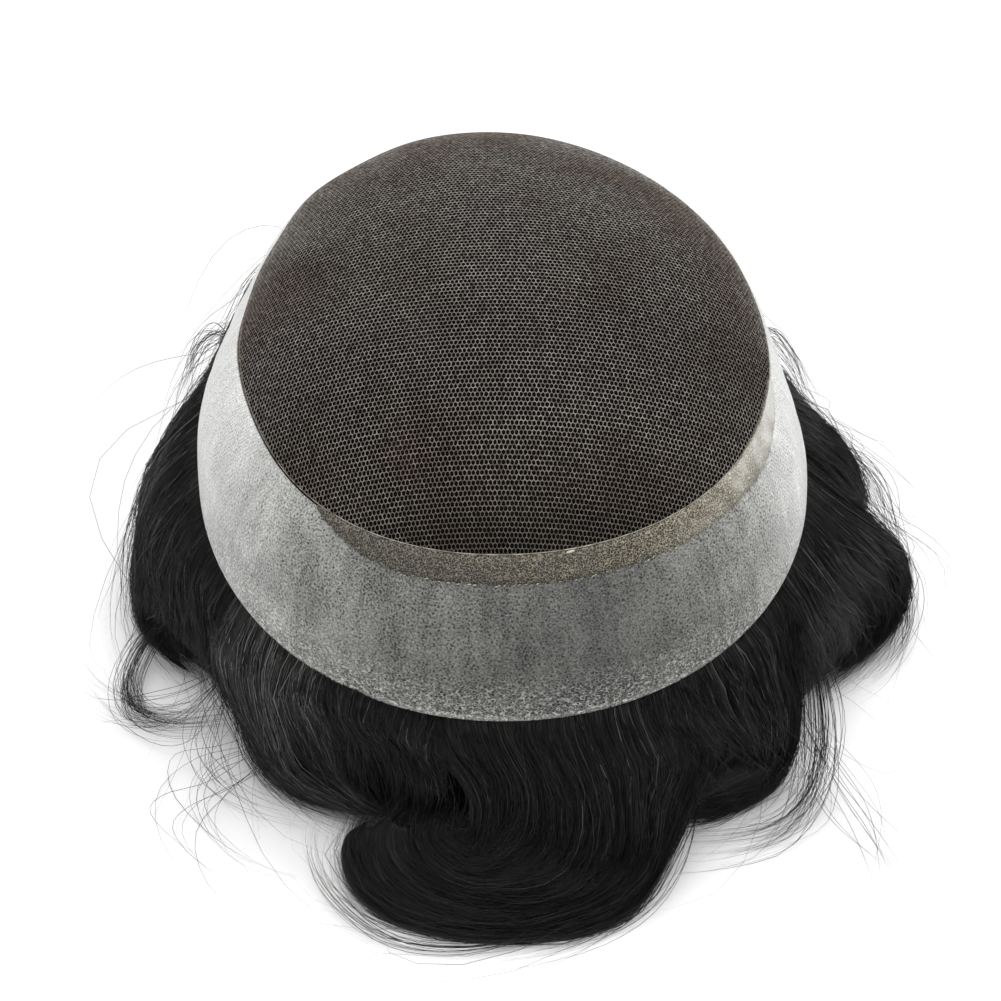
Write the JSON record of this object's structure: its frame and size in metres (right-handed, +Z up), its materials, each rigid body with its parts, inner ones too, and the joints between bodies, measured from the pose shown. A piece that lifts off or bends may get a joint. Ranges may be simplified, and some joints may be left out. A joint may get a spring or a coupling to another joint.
{
  "type": "toupee hairpiece",
  "caption": "Toupee turned inside out: a net dome with a clear film band round its rim, standing on the short wavy hair that comes out below.",
  "frame": {"origin": "on the floor, under the middle of the whole piece", "axes": "+Z up through the dome's crown, -Y towards the nape, +X to the right when it is seen from the nape"},
  "size_m": [0.1998, 0.237, 0.107],
  "materials": {
    "net": "matte",
    "lap": "matte",
    "film": "satin",
    "hair": "satin"
  },
  "bodies": {
    "root": {"lace_cap": "net", "lap_strip": "lap", "skin_band": "film", "crown_hair": "hair", "rim_hair": "hair"}
  },
  "joints": []
}
